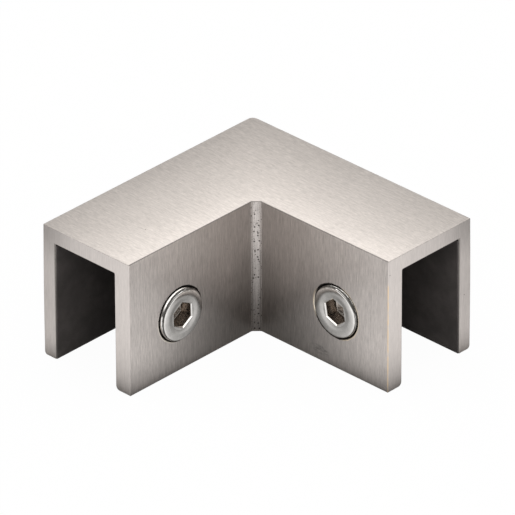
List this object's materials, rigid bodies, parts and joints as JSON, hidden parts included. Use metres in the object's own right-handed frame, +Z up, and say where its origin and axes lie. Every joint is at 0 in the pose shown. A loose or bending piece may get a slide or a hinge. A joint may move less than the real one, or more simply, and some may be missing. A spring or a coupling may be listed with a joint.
{
  "type": "glass clip",
  "caption": "L-shaped corner clip in brushed nickel for two glass panes, with an open channel along each arm and padded clamping screws.",
  "frame": {"origin": "centre of the L's square footprint, on the surface that the clip's feet stand on", "axes": "+Z up through the roof; the right arm runs along +X and the left arm along -Y from the outer corner at -X +Y"},
  "size_m": [0.05, 0.05, 0.025],
  "materials": {
    "brushed_nickel": "nickel plated brass, linear brushed",
    "bright_steel": "bright nickel plated steel",
    "plate_steel": "zinc plated",
    "black_rubber": "matte black"
  },
  "bodies": {
    "clamp": {"clamp_body": "brushed_nickel", "left_liner": "black_rubber", "right_liner": "black_rubber"},
    "left_plate": {"left_pressure_plate": "plate_steel", "left_plate_pad": "black_rubber"},
    "left_screw": {"left_clamp_screw": "bright_steel"},
    "right_plate": {"right_pressure_plate": "plate_steel", "right_plate_pad": "black_rubber"},
    "right_screw": {"right_clamp_screw": "bright_steel"}
  },
  "joints": [
    {"name": "left_plate_slide", "type": "slide", "parent": "clamp", "child": "left_plate", "axis": [-1, 0, 0], "range_m": [-0.0004, 0.0022]},
    {"name": "left_screw_turn", "type": "hinge", "parent": "left_plate", "child": "left_screw", "pos_m": [-0.005, -0.0132, 0.0108], "axis": [-1, 0, 0], "range_deg": [-144.4, 792.4]},
    {"name": "right_plate_slide", "type": "slide", "parent": "clamp", "child": "right_plate", "axis": [0, 1, 0], "range_m": [-0.0008, 0.0018]},
    {"name": "right_screw_turn", "type": "hinge", "parent": "right_plate", "child": "right_screw", "pos_m": [0.0132, 0.005, 0.0108], "axis": [0, 1, 0], "range_deg": [-288.4, 648.4]}
  ],
  "couplings": [
    {"joint": "left_screw_turn", "follows": "left_plate_slide", "rad_per_m": 6283.2},
    {"joint": "right_screw_turn", "follows": "right_plate_slide", "rad_per_m": 6283.2}
  ]
}
